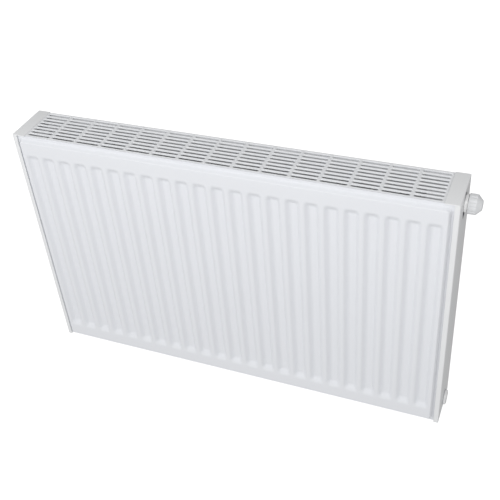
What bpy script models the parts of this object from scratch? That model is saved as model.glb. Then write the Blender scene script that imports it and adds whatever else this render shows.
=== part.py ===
"""Steel panel radiator, two panels and two convectors (type 22), with a built-in
thermostatic valve insert under a ribbed hand cap.

Metres, +Z up.  X runs along the radiator (valve end at +X), Y is the depth with the
room side at -Y and the wall side at +Y.  The pieces are laid out about the body
centre (X 0 half way along the panels, Y 0 half way between the panels, Z 0 at the
bottom edges) and the whole model then hangs on one empty that puts the origin at the
bottom centre of the outer box.
"""
import math

import bmesh
import bpy
from mathutils import Vector

# ---------------------------------------------------------------- driving dimensions
MM = 0.001
LENGTH = 800 * MM            # panel length
HEIGHT = 500 * MM            # overall height
DEPTH = 100 * MM             # over the raised faces of the two panels
PITCH = LENGTH / 24          # water channel pitch
GAP = 0.3 * MM               # clearance between pieces that touch

SHEET = 1.2 * MM             # panel sheet thickness
RAISE = 7.6 * MM             # raised field above the seam flange
FIELD_X = 386.5 * MM         # half length of the raised field
FIELD_FOOT_X = 389.3 * MM    # where its end wall meets the flange
FIELD_EDGE = 10.3 * MM       # raised field to the top and bottom edges
FOOT_EDGE = 8.3 * MM         # flange width along the top and bottom
GROOVE_HALF = 12.6 * MM      # half width of a groove at the raised face
GROOVE_SLOPE = 5.5 * MM      # run of its side slopes
GROOVE_END = 37.5 * MM       # groove end to the top and bottom edges
GROOVE_END_SLOPE = 10.5 * MM
GROOVE_DEPTH = 7.0 * MM
TOP_COVER = 1.0 * MM         # grille and side cover thickness
PANEL_TOP = HEIGHT - TOP_COVER - GAP
PANEL_BOTTOM = 2.5 * MM      # the side covers reach a little lower than the panels

FRONT_Y = -DEPTH / 2
FLANGE_Y = FRONT_Y + RAISE                   # outer face of the front seam flange
MATE_Y = FLANGE_Y + SHEET                    # where outer and inner sheet meet
INNER_FLANGE_Y = MATE_Y + GAP + SHEET        # inner face of the seam
INNER_FACE_Y = INNER_FLANGE_Y + RAISE        # raised inner face, towards the shaft
INNER_GROOVE_DEPTH = INNER_FACE_Y - (FRONT_Y + GROOVE_DEPTH + 2 * SHEET + GAP)

GRILLE_HALF = 376.0 * MM     # half length of the grille plate
SLOT_COLS, SLOT_ROWS = 15, 8
SLOT_PITCH_X, SLOT_PITCH_Y = 50 * MM, 10 * MM
SLOT_LEN, SLOT_WIDTH = 45 * MM, 5.4 * MM
GRILLE_LIP = 6.5 * MM

COVER_X = 401.3 * MM         # outer face of a side cover
LIP_Y = -INNER_FLANGE_Y - GAP                # outer face of the grille's turned-down lips
COVER_STAND_OFF = 1.6 * MM   # open gap between a cover's lips and the seam flanges
COVER_Y = -FLANGE_Y + COVER_STAND_OFF + TOP_COVER    # half depth of a side cover, over its lips
COVER_LIP_X = 392.4 * MM     # the lips wrap round both panels' side seams

PORT_EDGE = 25 * MM          # port axes to the top and bottom edges
PORT_Z_TOP = HEIGHT - PORT_EDGE
PORT_Z_BOTTOM = PORT_EDGE
TEE_X = 368 * MM             # cross tubes between the panels
TUBE_R, TUBE_BORE_R = 10.5 * MM, 7.5 * MM
BOSS_R, BOSS_BORE_R = 15.0 * MM, 9.4 * MM    # G1/2 socket
BOSS_FACE_X = 402 * MM
VALVE_BOSS_R = 12.2 * MM     # the valve's boss is slimmer than the ring in front of it
BOSS_INNER_X = 352 * MM
VALVE_INNER_X = 341 * MM     # the valve tee is longer: riser chamber behind the seat
RISER_X = 350 * MM
RISER_R, RISER_WALL = 8.0 * MM, 1.2 * MM
CONNECTOR_PITCH = 50 * MM
SUPPLY_X = TEE_X - CONNECTOR_PITCH
CONNECTOR_R = 13.5 * MM
CONNECTOR_Z = 3 * MM         # lower face of the pipe connections
CONNECTOR_TOP = 44 * MM

SEAT_X = 359.9 * MM          # seat face in the valve tee
SEAT_R = 4.2 * MM
CAP_R = 16.7 * MM
CAP_BASE_X, CAP_SHOULDER_X, CAP_TIP_X = 407.2 * MM, 420.0 * MM, 428.2 * MM
CAP_RIBS = 12

CONVECTOR_THICK = 0.45 * MM
CONVECTOR_Y0 = -INNER_FACE_Y - GAP           # welded edge, as a distance from mid depth
CONVECTOR_Y1 = 9.2 * MM                      # fin tips
CONVECTOR_Z0, CONVECTOR_Z1 = 50 * MM, 458 * MM
CONVECTOR_FIRST, CONVECTOR_LAST = -11, 9     # channel numbers it is welded to

LUG_X, LUG_Z_TOP, LUG_Z_BOTTOM = 9 * PITCH, 425 * MM, 75 * MM
LUG_HEIGHT, LUG_THICK, LUG_RISE = 40 * MM, 2.5 * MM, 8.7 * MM
LUG_BACK_Y = DEPTH / 2 + GAP + LUG_RISE

VENT_TIP_X = -412.4 * MM
ORIGIN = Vector(((CAP_TIP_X + VENT_TIP_X) / 2, (FRONT_Y + LUG_BACK_Y) / 2, 0.0))

# ---------------------------------------------------------------- scene and helpers
for stale in list(bpy.data.objects):
    bpy.data.objects.remove(stale, do_unlink=True)

model = bpy.data.collections.new("panel_radiator")
cutters = bpy.data.collections.new("radiator_cutters")
bpy.context.scene.collection.children.link(model)
bpy.context.scene.collection.children.link(cutters)

root = bpy.data.objects.new("radiator_origin", None)
root.location = -ORIGIN
model.objects.link(root)


def material(name, colour, roughness, metallic=0.0):
    mat = bpy.data.materials.new(name)
    mat.use_nodes = True
    shader = mat.node_tree.nodes["Principled BSDF"]
    shader.inputs["Base Color"].default_value = (*colour, 1.0)
    shader.inputs["Roughness"].default_value = roughness
    shader.inputs["Metallic"].default_value = metallic
    return mat


PAINT = material("white_enamel", (0.83, 0.84, 0.86), 0.35)
PAINT_SIDE = material("white_enamel_cover", (0.74, 0.75, 0.76), 0.4)
PAINT_FIN = material("primed_steel", (0.62, 0.63, 0.64), 0.6)
STEEL = material("steel", (0.55, 0.55, 0.56), 0.35, 1.0)
BRASS = material("brass", (0.72, 0.55, 0.28), 0.3, 1.0)
WHITE_PLASTIC = material("white_plastic", (0.84, 0.85, 0.86), 0.4)
GREY_PLASTIC = material("grey_plastic", (0.30, 0.31, 0.33), 0.5)
RUBBER = material("rubber", (0.03, 0.03, 0.03), 0.8)


def link(obj, mat=None, collection=model):
    collection.objects.link(obj)
    obj.parent = root
    if mat is not None:
        if obj.data.materials:
            obj.data.materials[0] = mat
        else:
            obj.data.materials.append(mat)
    return obj


def mesh_object(name, bm, mat=None, collection=model):
    mesh = bpy.data.meshes.new(name)
    bm.to_mesh(mesh)
    bm.free()
    return link(bpy.data.objects.new(name, mesh), mat, collection)


def smooth(obj, angle=35):
    obj.data.shade_smooth()
    obj.data.set_sharp_from_angle(angle=math.radians(angle))


def as_cutter(obj):
    obj.hide_render = True
    obj.display_type = "WIRE"
    return obj


def box(name, low, high, mat=None, collection=model):
    bm = bmesh.new()
    bmesh.ops.create_cube(bm, size=1.0)
    for v in bm.verts:
        v.co = Vector(low[i] + (v.co[i] + 0.5) * (high[i] - low[i]) for i in range(3))
    return mesh_object(name, bm, mat, collection)


def rod(name, radius, start, end, segments=24, mat=None, collection=model):
    """A plain cylinder from start to end."""
    start, end = Vector(start), Vector(end)
    bm = bmesh.new()
    bmesh.ops.create_cone(bm, cap_ends=True, segments=segments, radius1=radius,
                          radius2=radius, depth=(end - start).length)
    obj = mesh_object(name, bm, mat, collection)
    obj.location = (start + end) / 2
    obj.rotation_euler = (end - start).to_track_quat("Z", "Y").to_euler()
    return obj


def cut_box(name, low, high):
    return as_cutter(box(name, low, high, None, cutters))


def cut_rod(name, radius, start, end, segments=24):
    return as_cutter(rod(name, radius, start, end, segments, None, cutters))


def boolean(obj, other, operation="DIFFERENCE", solver="EXACT"):
    mod = obj.modifiers.new(other.name, "BOOLEAN")
    mod.object = other
    mod.operation = operation
    mod.solver = solver
    return obj


def turned(name, profile, x, z, side=1, segments=24, mat=None, bore=False, collection=model):
    """A turned piece on a horizontal axis.  The profile is (distance outwards, radius)
    from the outer end to the inner end along the outside, and back along the bore
    when there is one.  side is +1 at the valve end and -1 at the vent end."""
    bm = bmesh.new()
    ring = [bm.verts.new((r, 0.0, h)) for h, r in profile]
    for a, b in zip(ring, ring[1:]):
        bm.edges.new((a, b))
    if bore:
        bm.edges.new((ring[-1], ring[0]))
    obj = mesh_object(name, bm, mat, collection)
    screw = obj.modifiers.new("turn", "SCREW")
    screw.steps = screw.render_steps = segments
    screw.use_merge_vertices = True
    screw.merge_threshold = 0.00002
    screw.use_smooth_shade = True
    obj.location = (x, 0.0, z)
    obj.rotation_euler = (0.0, side * math.pi / 2, 0.0)
    return obj


def hexagon(name, across, h0, h1, x, z, side=1, mat=None, collection=model):
    bm = bmesh.new()
    r = across / math.sqrt(3)
    bmesh.ops.create_cone(bm, cap_ends=True, segments=6, radius1=r, radius2=r, depth=h1 - h0)
    bmesh.ops.translate(bm, verts=bm.verts, vec=(0, 0, (h0 + h1) / 2))
    obj = mesh_object(name, bm, mat, collection)
    obj.location = (x, 0.0, z)
    obj.rotation_euler = (0.0, side * math.pi / 2, 0.0)
    return obj


# ---------------------------------------------------------------- pressed panel sheets
def pressed_sheet(name, raise_by, groove_depth, side, mat, waterways=False):
    """One pressed sheet.  The plane of the mesh is the seam flange, normals towards
    -Y; side -1 presses the field towards -Y, side +1 is the same sheet turned over.
    Waterways are the four round holes that the cross tubes open into."""
    bm = bmesh.new()
    bmesh.ops.create_grid(bm, x_segments=1, y_segments=1, size=0.5)
    for v in bm.verts:
        v.co = Vector((v.co.x * LENGTH, 0.0, PANEL_BOTTOM + (v.co.y + 0.5) * (PANEL_TOP - PANEL_BOTTOM)))
    bm.normal_update()
    if bm.faces[:][0].normal.y > 0:
        bmesh.ops.reverse_faces(bm, faces=bm.faces[:])
    face = bm.faces[:][0]

    def ring(half_x, edge_bottom, edge_top, y):
        bmesh.ops.inset_individual(bm, faces=[face], thickness=0.002, depth=0.0)
        for v in face.verts:
            v.co.x = math.copysign(half_x, v.co.x)
            v.co.z = edge_bottom if v.co.z < HEIGHT / 2 else HEIGHT - edge_top
            v.co.y = y

    ring(FIELD_FOOT_X, FOOT_EDGE, FOOT_EDGE, 0.0)
    ring(FIELD_X, FIELD_EDGE, FIELD_EDGE, -raise_by)

    def on_field(f):
        return all(abs(v.co.y + raise_by) < 1e-7 for v in f.verts)

    def cut(point, normal):
        faces = [f for f in bm.faces if on_field(f)]
        geom = faces + list({e for f in faces for e in f.edges}) + list({v for f in faces for v in f.verts})
        bmesh.ops.bisect_plane(bm, geom=geom, plane_co=point, plane_no=normal, dist=1e-7)

    for z in (GROOVE_END, HEIGHT - GROOVE_END):
        cut((0, 0, z), (0, 0, 1))
    for k in range(-11, 12):
        for s in (-1, 1):
            cut((k * PITCH + s * GROOVE_HALF, 0, 0), (1, 0, 0))

    def is_groove(f):
        c = f.calc_center_median()
        k = round(c.x / PITCH)
        return (on_field(f) and abs(k) <= 11 and abs(c.x - k * PITCH) < GROOVE_HALF / 2
                and GROOVE_END < c.z < HEIGHT - GROOVE_END)

    grooves = [f for f in bm.faces if is_groove(f)]
    bmesh.ops.inset_individual(bm, faces=grooves, thickness=GROOVE_SLOPE, depth=0.0)
    for f in grooves:
        for v in f.verts:
            v.co.y = -raise_by + groove_depth
            v.co.z = (GROOVE_END + GROOVE_END_SLOPE if v.co.z < HEIGHT / 2
                      else HEIGHT - GROOVE_END - GROOVE_END_SLOPE)

    def header(f, low):
        c = f.calc_center_median()
        return on_field(f) and (c.z < GROOVE_END if low else c.z > HEIGHT - GROOVE_END)

    for low in (True, False):
        middle = [f for f in bm.faces if header(f, low) and abs(f.calc_center_median().x) < TEE_X - 15 * MM]
        bmesh.ops.dissolve_faces(bm, faces=middle, use_verts=False)
        for s in (-1, 1) if waterways else ():
            cell = min((f for f in bm.faces if header(f, low)),
                       key=lambda f: abs(f.calc_center_median().x - s * TEE_X))
            centre = Vector((s * TEE_X, -raise_by, PORT_Z_BOTTOM if low else PORT_Z_TOP))
            bmesh.ops.inset_individual(bm, faces=[cell], thickness=1 * MM, depth=0.0)
            bmesh.ops.subdivide_edges(bm, edges=cell.edges[:], cuts=3)
            hole = min((f for f in bm.faces if header(f, low) and len(f.verts) == 16),
                       key=lambda f: (f.calc_center_median() - centre).length)
            corners = sorted(hole.verts, key=lambda v: math.atan2(v.co.z - hole.calc_center_median().z,
                                                                 v.co.x - hole.calc_center_median().x))
            first = math.atan2(corners[0].co.z - hole.calc_center_median().z,
                               corners[0].co.x - hole.calc_center_median().x)
            places = [(centre.x + TUBE_BORE_R * math.cos(first + math.pi * i / 8),
                       centre.z + TUBE_BORE_R * math.sin(first + math.pi * i / 8)) for i in range(16)]
            for v, (x, z) in zip(corners, places):
                v.co.x, v.co.z = x, z
            bmesh.ops.delete(bm, geom=[hole], context="FACES_ONLY")
    spare = [v for v in bm.verts if len(v.link_edges) == 2 and not v.is_boundary]
    bmesh.ops.dissolve_verts(bm, verts=spare)
    obj = mesh_object(name, bm, mat)
    solid = obj.modifiers.new("sheet", "SOLIDIFY")
    solid.thickness = SHEET
    solid.offset = -1.0
    solid.use_even_offset = True
    solid.use_quality_normals = True
    obj.rotation_euler = (0.0, 0.0, 0.0 if side < 0 else math.pi)
    return obj


front_outer = pressed_sheet("front_panel_outer_sheet", RAISE, GROOVE_DEPTH, -1, PAINT)
front_outer.location.y = FLANGE_Y
rear_outer = pressed_sheet("rear_panel_outer_sheet", RAISE, GROOVE_DEPTH, 1, PAINT)
rear_outer.location.y = -FLANGE_Y

front_inner = pressed_sheet("front_panel_inner_sheet", RAISE, INNER_GROOVE_DEPTH, 1, PAINT, waterways=True)
front_inner.location.y = INNER_FLANGE_Y
rear_inner = pressed_sheet("rear_panel_inner_sheet", RAISE, INNER_GROOVE_DEPTH, -1, PAINT, waterways=True)
rear_inner.location.y = -INNER_FLANGE_Y


# ---------------------------------------------------------------- convectors
def convector(name, side):
    """Folded fin sheet.  Each fold base lies on a water channel; side is the sign of Y."""
    bm = bmesh.new()
    outline = []
    for k in range(CONVECTOR_FIRST, CONVECTOR_LAST + 1):
        x = (k + 0.5) * PITCH
        outline += [(x - 7 * MM, CONVECTOR_Y0), (x + 7 * MM, CONVECTOR_Y0)]
        if k < CONVECTOR_LAST:
            outline += [(x + 9.5 * MM, CONVECTOR_Y1), (x + PITCH - 9.5 * MM, CONVECTOR_Y1)]
    row = [bm.verts.new((x, y, CONVECTOR_Z0)) for x, y in outline]
    edges = [bm.edges.new((a, b)) for a, b in zip(row, row[1:])]
    grown = bmesh.ops.extrude_edge_only(bm, edges=edges)["geom"]
    top = [v for v in grown if isinstance(v, bmesh.types.BMVert)]
    bmesh.ops.translate(bm, verts=top, vec=(0, 0, CONVECTOR_Z1 - CONVECTOR_Z0))
    bmesh.ops.recalc_face_normals(bm, faces=bm.faces[:])
    base = min(bm.faces, key=lambda f: f.calc_center_median().x)
    if base.normal.y < 0:
        bmesh.ops.reverse_faces(bm, faces=bm.faces[:])
    for v in bm.verts:
        v.co.y *= side
    if side < 0:
        bmesh.ops.reverse_faces(bm, faces=bm.faces[:])
    obj = mesh_object(name, bm, PAINT_FIN)
    solid = obj.modifiers.new("sheet", "SOLIDIFY")
    solid.thickness = CONVECTOR_THICK
    solid.offset = -1.0
    solid.use_even_offset = True
    return obj


convector("front_convector", -1)
convector("rear_convector", 1)


# ---------------------------------------------------------------- top grille
def top_grille():
    """Slotted plate with a turned-down lip along the front and the back."""
    xs = [-GRILLE_HALF]
    for c in range(SLOT_COLS):
        mid = (c - (SLOT_COLS - 1) / 2) * SLOT_PITCH_X
        xs += [mid - SLOT_LEN / 2, mid + SLOT_LEN / 2]
    xs.append(GRILLE_HALF)
    half_y = -FLANGE_Y
    lip_y = LIP_Y
    ys = [-half_y]
    for r in range(SLOT_ROWS):
        mid = (r - (SLOT_ROWS - 1) / 2) * SLOT_PITCH_Y
        ys += [mid - SLOT_WIDTH / 2, mid + SLOT_WIDTH / 2]
    ys.append(half_y)
    bm = bmesh.new()
    bmesh.ops.create_grid(bm, x_segments=len(xs) - 1, y_segments=len(ys) - 1, size=0.5)
    nx, ny = len(xs) - 1, len(ys) - 1
    for v in bm.verts:
        v.co = Vector((xs[round((v.co.x + 0.5) * nx)], ys[round((v.co.y + 0.5) * ny)], 0.0))

    def is_slot(f):
        c = f.calc_center_median()
        col = (c.x / SLOT_PITCH_X) + (SLOT_COLS - 1) / 2
        row = (c.y / SLOT_PITCH_Y) + (SLOT_ROWS - 1) / 2
        return (abs(col - round(col)) < 0.01 and abs(row - round(row)) < 0.01
                and 0 <= round(col) < SLOT_COLS and 0 <= round(row) < SLOT_ROWS)

    bmesh.ops.delete(bm, geom=[f for f in bm.faces if is_slot(f)], context="FACES")
    bmesh.ops.dissolve_limit(bm, angle_limit=0.003, verts=bm.verts[:], edges=bm.edges[:])
    if bm.faces[:][0].normal.z < 0:
        bmesh.ops.reverse_faces(bm, faces=bm.faces[:])
    obj = mesh_object("top_grille", bm, PAINT)
    obj.location.z = HEIGHT
    solid = obj.modifiers.new("sheet", "SOLIDIFY")
    solid.thickness = TOP_COVER
    solid.offset = -1.0
    for s, label in ((-1, "front"), (1, "back")):
        y0, y1 = sorted((s * lip_y, s * (lip_y - TOP_COVER)))
        lip = cut_box("grille_lip_" + label,
                      (-GRILLE_HALF + 4 * MM, y0, HEIGHT - TOP_COVER - GRILLE_LIP),
                      (GRILLE_HALF - 4 * MM, y1, HEIGHT - TOP_COVER / 2))
        boolean(obj, lip, "UNION")
    return obj


top_grille()


# ---------------------------------------------------------------- side covers
def side_cover(name, side):
    def span(a, b):
        return sorted((side * a, side * b))

    x0, x1 = span(COVER_X - TOP_COVER, COVER_X)
    obj = box(name, (x0, -COVER_Y, 0.0), (x1, COVER_Y, HEIGHT - TOP_COVER / 2), PAINT_SIDE)
    tx0, tx1 = span(GRILLE_HALF + GAP, COVER_X)
    top = cut_box(name + "_top", (tx0, -COVER_Y, HEIGHT - TOP_COVER), (tx1, COVER_Y, HEIGHT))
    boolean(obj, top, "UNION")
    lx0, lx1 = span(COVER_LIP_X, COVER_X - TOP_COVER / 2)
    for s, label in ((-1, "front"), (1, "back")):
        y0, y1 = sorted((s * COVER_Y, s * (COVER_Y - TOP_COVER)))
        lip = cut_box(f"{name}_lip_{label}", (lx0, y0, 0.0), (lx1, y1, HEIGHT - TOP_COVER / 2))
        boolean(obj, lip, "UNION")
    return obj


cover_right = side_cover("side_cover_right", 1)
cover_left = side_cover("side_cover_left", -1)
HOLE_R = BOSS_R + 0.6 * MM
VALVE_HOLE_R = VALVE_BOSS_R + 0.6 * MM
VALVE_HOLE_LOW, VALVE_HOLE_HIGH = HEIGHT - 54 * MM, HEIGHT - 6 * MM
bm = bmesh.new()
bmesh.ops.create_cone(bm, cap_ends=True, segments=24, radius1=VALVE_HOLE_R, radius2=VALVE_HOLE_R, depth=20 * MM)
for v in bm.verts:
    # the two half circles are pulled apart into a slot with round ends
    v.co.x += math.copysign((VALVE_HOLE_HIGH - VALVE_HOLE_LOW) / 2 - VALVE_HOLE_R, v.co.x)
hole = mesh_object("valve_hole", bm, None, cutters)
hole.location = (COVER_X, 0, (VALVE_HOLE_LOW + VALVE_HOLE_HIGH) / 2)
hole.rotation_euler = (0, math.pi / 2, 0)
boolean(cover_right, as_cutter(hole))
boolean(cover_right, cut_rod("plug_hole_right", HOLE_R, (380 * MM, 0, PORT_Z_BOTTOM), (420 * MM, 0, PORT_Z_BOTTOM), 24))
boolean(cover_left, cut_rod("plug_hole_left", HOLE_R, (-380 * MM, 0, PORT_Z_BOTTOM), (-420 * MM, 0, PORT_Z_BOTTOM), 24))
boolean(cover_left, cut_rod("vent_hole_left", HOLE_R, (-380 * MM, 0, PORT_Z_TOP), (-420 * MM, 0, PORT_Z_TOP), 24))


# ---------------------------------------------------------------- tees between the panels
def tee(name, side, z, inner_x=BOSS_INNER_X, radius=BOSS_R, segments=16):
    half = -INNER_FACE_Y - GAP
    obj = rod(name, radius, (side * inner_x, 0, z), (side * BOSS_FACE_X, 0, z), segments, PAINT)
    tube = as_cutter(rod(name + "_tube", TUBE_R, (side * TEE_X, -half, z), (side * TEE_X, half, z), 16, None, cutters))
    boolean(obj, tube, "UNION")
    return obj


def tee_bores(obj, side, z, inner_x=BOSS_INNER_X + 5 * MM, segments=16):
    half = -INNER_FACE_Y
    boolean(obj, cut_rod(obj.name + "_socket", BOSS_BORE_R, (side * inner_x, 0, z), (side * (BOSS_FACE_X + 5 * MM), 0, z), segments))
    boolean(obj, cut_rod(obj.name + "_cross_bore", TUBE_BORE_R, (side * TEE_X, -half - 5 * MM, z), (side * TEE_X, half + 5 * MM, z), 16))


vent_tee = tee("tee_top_left", -1, PORT_Z_TOP)
tee_bores(vent_tee, -1, PORT_Z_TOP)
blank_tee = tee("tee_bottom_left", -1, PORT_Z_BOTTOM)
tee_bores(blank_tee, -1, PORT_Z_BOTTOM)

return_tee = tee("tee_bottom_right", 1, PORT_Z_BOTTOM)
boolean(return_tee, as_cutter(rod("return_boss", CONNECTOR_R, (TEE_X, 0, PORT_Z_BOTTOM), (TEE_X, 0, CONNECTOR_Z), 16, None, cutters)), "UNION")
tee_bores(return_tee, 1, PORT_Z_BOTTOM)
boolean(return_tee, cut_rod("return_port", BOSS_BORE_R, (TEE_X, 0, PORT_Z_BOTTOM), (TEE_X, 0, CONNECTOR_Z - 5 * MM), 16))

valve_tee = tee("tee_top_right", 1, PORT_Z_TOP, VALVE_INNER_X, VALVE_BOSS_R)
boolean(valve_tee, cut_rod("valve_socket", BOSS_BORE_R, (SEAT_X, 0, PORT_Z_TOP), (BOSS_FACE_X + 5 * MM, 0, PORT_Z_TOP), 16))
boolean(valve_tee, cut_rod("valve_cross_bore_front", TUBE_BORE_R, (TEE_X, -INNER_FACE_Y + 5 * MM, PORT_Z_TOP), (TEE_X, INNER_FACE_Y - 5 * MM, PORT_Z_TOP), 16))
boolean(valve_tee, cut_rod("valve_seat", SEAT_R, (348 * MM, 0, PORT_Z_TOP), (SEAT_X + 2 * MM, 0, PORT_Z_TOP), 16))
boolean(valve_tee, cut_rod("riser_socket", RISER_R - RISER_WALL, (RISER_X, 0, PORT_Z_TOP), (RISER_X, 0, PORT_Z_TOP - 20 * MM), 16))

# ---------------------------------------------------------------- supply side
supply = rod("supply_connector", CONNECTOR_R, (SUPPLY_X, 0, CONNECTOR_Z), (SUPPLY_X, 0, CONNECTOR_TOP), 16, PAINT)
boolean(supply, cut_rod("supply_port", BOSS_BORE_R, (SUPPLY_X, 0, CONNECTOR_Z - 5 * MM), (SUPPLY_X, 0, 24 * MM), 16))
boolean(supply, cut_rod("supply_bore", RISER_R - RISER_WALL, (SUPPLY_X, 0, 20 * MM), (SUPPLY_X, 0, CONNECTOR_TOP + 5 * MM), 16))

# flat bar welded between the two pipe connections, hollowed to their round sides
bridge = box("connector_bridge", (SUPPLY_X, -9 * MM, 6 * MM), (TEE_X, 9 * MM, 18 * MM), PAINT)
boolean(bridge, cut_rod("bridge_supply_side", CONNECTOR_R + GAP, (SUPPLY_X, 0, 0), (SUPPLY_X, 0, 40 * MM), 40))
boolean(bridge, cut_rod("bridge_return_side", CONNECTOR_R + GAP, (TEE_X, 0, 0), (TEE_X, 0, 40 * MM), 40))
boolean(bridge, cut_rod("bridge_tee_side", BOSS_R + GAP, (330 * MM, 0, PORT_Z_BOTTOM), (420 * MM, 0, PORT_Z_BOTTOM), 40))


def riser_tube():
    """Hollow tube from the supply connection up to the chamber under the valve seat."""
    z0, z1 = CONNECTOR_TOP + GAP, PORT_Z_TOP - VALVE_BOSS_R - GAP
    bend0, bend1 = z0 + 14 * MM, z0 + 78 * MM
    points = [(SUPPLY_X, z0)]
    steps = 8
    for i in range(steps + 1):
        t = i / steps
        ease = t * t * (3 - 2 * t)
        points.append((SUPPLY_X + (RISER_X - SUPPLY_X) * ease, bend0 + (bend1 - bend0) * t))
    points.append((RISER_X, z1))
    curve = bpy.data.curves.new("riser_path", "CURVE")
    curve.dimensions = "3D"
    curve.bevel_depth = RISER_R
    curve.bevel_resolution = 2
    curve.use_fill_caps = False
    spline = curve.splines.new("POLY")
    spline.points.add(len(points) - 1)
    for p, (x, z) in zip(spline.points, points):
        p.co = (x, 0.0, z, 1.0)
    path = bpy.data.objects.new("riser_path", curve)
    bpy.context.scene.collection.objects.link(path)
    bpy.context.view_layer.update()
    mesh = bpy.data.meshes.new_from_object(path.evaluated_get(bpy.context.evaluated_depsgraph_get()))
    matrix = path.matrix_world.copy()
    bpy.data.objects.remove(path, do_unlink=True)
    mesh.name = "riser_tube"
    obj = bpy.data.objects.new("riser_tube", mesh)
    obj.matrix_world = matrix
    link(obj, PAINT)
    solid = obj.modifiers.new("wall", "SOLIDIFY")
    solid.thickness = RISER_WALL
    solid.offset = -1.0
    solid.use_even_offset = True
    smooth(obj)
    return obj


riser_tube()


# ---------------------------------------------------------------- wall lugs
def lug_mesh():
    """Hat-section strap: two feet on neighbouring channels, a bridge over the groove.
    Its mesh origin is on the groove centre line, at the rear panel's raised face."""
    bm = bmesh.new()
    foot0, foot1, top = 20.4 * MM, 12.9 * MM, 11.0 * MM
    y0, y1 = GAP + LUG_THICK, LUG_RISE + GAP
    outline = [(-foot0, y0), (-foot1, y0), (-top, y1), (top, y1), (foot1, y0), (foot0, y0)]
    row = [bm.verts.new((x, y, -LUG_HEIGHT / 2)) for x, y in outline]
    edges = [bm.edges.new((a, b)) for a, b in zip(row, row[1:])]
    grown = bmesh.ops.extrude_edge_only(bm, edges=edges)["geom"]
    bmesh.ops.translate(bm, verts=[v for v in grown if isinstance(v, bmesh.types.BMVert)], vec=(0, 0, LUG_HEIGHT))
    if bm.faces[:][0].normal.y == 0:
        bm.normal_update()
    bmesh.ops.recalc_face_normals(bm, faces=bm.faces[:])
    middle = min(bm.faces, key=lambda f: abs(f.calc_center_median().x))
    if middle.normal.y < 0:
        bmesh.ops.reverse_faces(bm, faces=bm.faces[:])
    mesh = bpy.data.meshes.new("wall_lug")
    bm.to_mesh(mesh)
    bm.free()
    mesh.materials.append(PAINT)
    return mesh


lug = lug_mesh()
for name, x, z in (("wall_lug_top_left", -LUG_X, LUG_Z_TOP), ("wall_lug_top_right", LUG_X, LUG_Z_TOP),
                   ("wall_lug_bottom_left", -LUG_X, LUG_Z_BOTTOM), ("wall_lug_bottom_right", LUG_X, LUG_Z_BOTTOM)):
    obj = link(bpy.data.objects.new(name, lug))
    obj.location = (x, DEPTH / 2, z)
    solid = obj.modifiers.new("strap", "SOLIDIFY")
    solid.thickness = LUG_THICK
    solid.offset = -1.0
    solid.use_even_offset = True

# ---------------------------------------------------------------- valve insert, right end
# Distances along the valve axis are measured from the boss face, outwards positive.
V = BOSS_FACE_X
Z_V = PORT_Z_TOP
SEG = 16


def from_face(x):
    return x - V


# brass body: thread in the boss, collar, M30 nose with a cartridge pocket, cage with
# a spring chamber and outlet windows at the inner end
body_profile = [
    (13.6 * MM, 6.6 * MM), (13.6 * MM, 14.3 * MM), (12.9 * MM, 14.9 * MM), (4.9 * MM, 14.9 * MM),
    (4.9 * MM, 12.4 * MM), (1.3 * MM, 12.4 * MM), (1.3 * MM, 9.1 * MM), (-15.0 * MM, 9.1 * MM),
    (-16.0 * MM, 8.2 * MM), (from_face(362.6 * MM), 8.2 * MM), (from_face(362.6 * MM), 6.4 * MM),
    (-6.0 * MM, 6.4 * MM), (-6.0 * MM, 2.2 * MM), (3.2 * MM, 2.2 * MM), (3.2 * MM, 6.6 * MM)]
insert = turned("valve_insert_body", body_profile, V, Z_V, 1, SEG, BRASS, bore=True)
boolean(insert, cut_box("insert_windows", (365.0 * MM, -4 * MM, Z_V - 12 * MM), (376.0 * MM, 4 * MM, Z_V + 12 * MM)))
boolean(insert, cut_box("insert_windows_cross", (365.0 * MM, -12 * MM, Z_V - 4 * MM), (376.0 * MM, 12 * MM, Z_V + 4 * MM)))

turned("valve_insert_o_ring", [(0.95 * MM, 9.7 * MM), (0.95 * MM, 11.7 * MM), (0.35 * MM, 11.7 * MM), (0.35 * MM, 9.7 * MM)],
       V, Z_V, 1, SEG, RUBBER, bore=True)

# white moulded ring round the insert's collar, between the boss and the hand cap
turned("spacer_ring", [
    (4.5 * MM, 12.75 * MM), (4.5 * MM, 14.6 * MM), (4.1 * MM, 15.0 * MM), (0.35 * MM, 15.0 * MM), (0.35 * MM, 12.75 * MM)],
       V, Z_V, 1, 24, WHITE_PLASTIC, bore=True)

# gland cartridge, with an inside groove for its ring
turned("valve_gland", [
    (16.4 * MM, 2.2 * MM), (16.4 * MM, 5.0 * MM), (16.0 * MM, 6.3 * MM), (3.6 * MM, 6.3 * MM), (3.6 * MM, 2.2 * MM),
    (7.6 * MM, 2.2 * MM), (7.6 * MM, 4.2 * MM), (10.0 * MM, 4.2 * MM), (10.0 * MM, 2.2 * MM)],
       V, Z_V, 1, SEG, BRASS, bore=True)
turned("valve_gland_o_ring", [(9.7 * MM, 2.25 * MM), (9.7 * MM, 3.95 * MM), (7.9 * MM, 3.95 * MM), (7.9 * MM, 2.25 * MM)],
       V, Z_V, 1, SEG, RUBBER, bore=True)

# presetting dial: a knurled ring on the gland, with one pointer notch
dial = turned("presetting_dial", [
    (16.2 * MM, 6.7 * MM), (16.2 * MM, 9.4 * MM), (15.6 * MM, 10.1 * MM), (13.9 * MM, 10.1 * MM), (13.9 * MM, 6.7 * MM)],
              V, Z_V, 1, SEG, GREY_PLASTIC, bore=True)
boolean(dial, cut_box("dial_notch", (V + 15.0 * MM, -0.9 * MM, Z_V + 8.2 * MM), (V + 18 * MM, 0.9 * MM, Z_V + 12 * MM)))

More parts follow.
